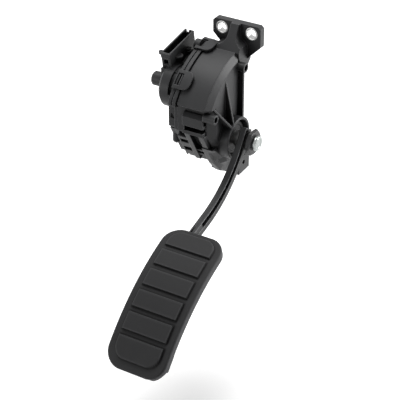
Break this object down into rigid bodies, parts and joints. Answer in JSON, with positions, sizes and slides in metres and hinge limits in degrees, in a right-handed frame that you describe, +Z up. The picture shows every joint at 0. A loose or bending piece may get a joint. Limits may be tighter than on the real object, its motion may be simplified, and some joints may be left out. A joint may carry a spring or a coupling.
{
  "type": "accelerator pedal",
  "caption": "Hanging vehicle accelerator pedal: domed sensor housing with a bolt-on plate, side connector socket, bent swinging arm and a curved foot pad with raised cross bars.",
  "frame": {"origin": "middle of the two mounting holes, on the rear mounting face", "axes": "+X along the pivot to the arm side, +Y from the driver towards the bulkhead, +Z up"},
  "size_m": [0.1241, 0.2402, 0.2264],
  "materials": {
    "housing_nylon": "satin glass-filled nylon",
    "cover_nylon": "satin glass-filled nylon",
    "arm_nylon": "satin glass-filled nylon",
    "pad_rubber": "fine matt rubber",
    "plate_steel": "black coated steel",
    "zinc": "zinc plated",
    "bright_steel": "turned steel",
    "spring_steel": "drawn wire",
    "collar_black": "black coated steel",
    "seal_rubber": "smooth",
    "bearing_bronze": "sintered",
    "gear_plastic": "smooth acetal",
    "magnet": "sintered",
    "board": "lacquered",
    "chip": "moulded",
    "pin_metal": "tin plated",
    "friction": "pressed lining"
  },
  "bodies": {
    "housing": {"main_housing": "housing_nylon", "sensor_cover": "cover_nylon", "cover_seal": "seal_rubber", "mounting_bushes": "bright_steel", "connector_pins": "pin_metal", "circuit_board": "board", "sensor_chips": "chip", "right_bearing": "bearing_bronze", "left_bearing": "bearing_bronze", "shaft_seal": "seal_rubber", "outer_spring": "spring_steel", "inner_spring": "spring_steel", "friction_shoe": "friction", "friction_spring": "spring_steel"},
    "pedal": {"pedal_arm": "arm_nylon", "pivot_shaft": "bright_steel", "spring_drum": "gear_plastic", "hub_disc": "arm_nylon", "spacer_sleeve": "bright_steel", "hex_collar": "collar_black", "pivot_bolt": "zinc", "shaft_clip": "spring_steel", "pad_base": "plate_steel", "pad_cover": "pad_rubber", "pad_screws": "collar_black"},
    "sensor": {"sensor_pinion": "gear_plastic", "sensor_magnet": "magnet"}
  },
  "joints": [
    {"name": "pedal_pivot", "type": "hinge", "parent": "housing", "child": "pedal", "pos_m": [0, -0.0358, -0.0897], "axis": [1, 0, 0], "range_deg": [0, 16], "stiffness_Nm_per_rad": 18, "springref_deg": -16.04, "deforming": ["outer_spring", "inner_spring"]},
    {"name": "sensor_turn", "type": "hinge", "parent": "housing", "child": "sensor", "pos_m": [0, -0.05025, -0.04314], "axis": [1, 0, 0], "range_deg": [-54, 2]}
  ],
  "couplings": [
    {"joint": "sensor_turn", "follows": "pedal_pivot", "ratio": -3.0625}
  ]
}
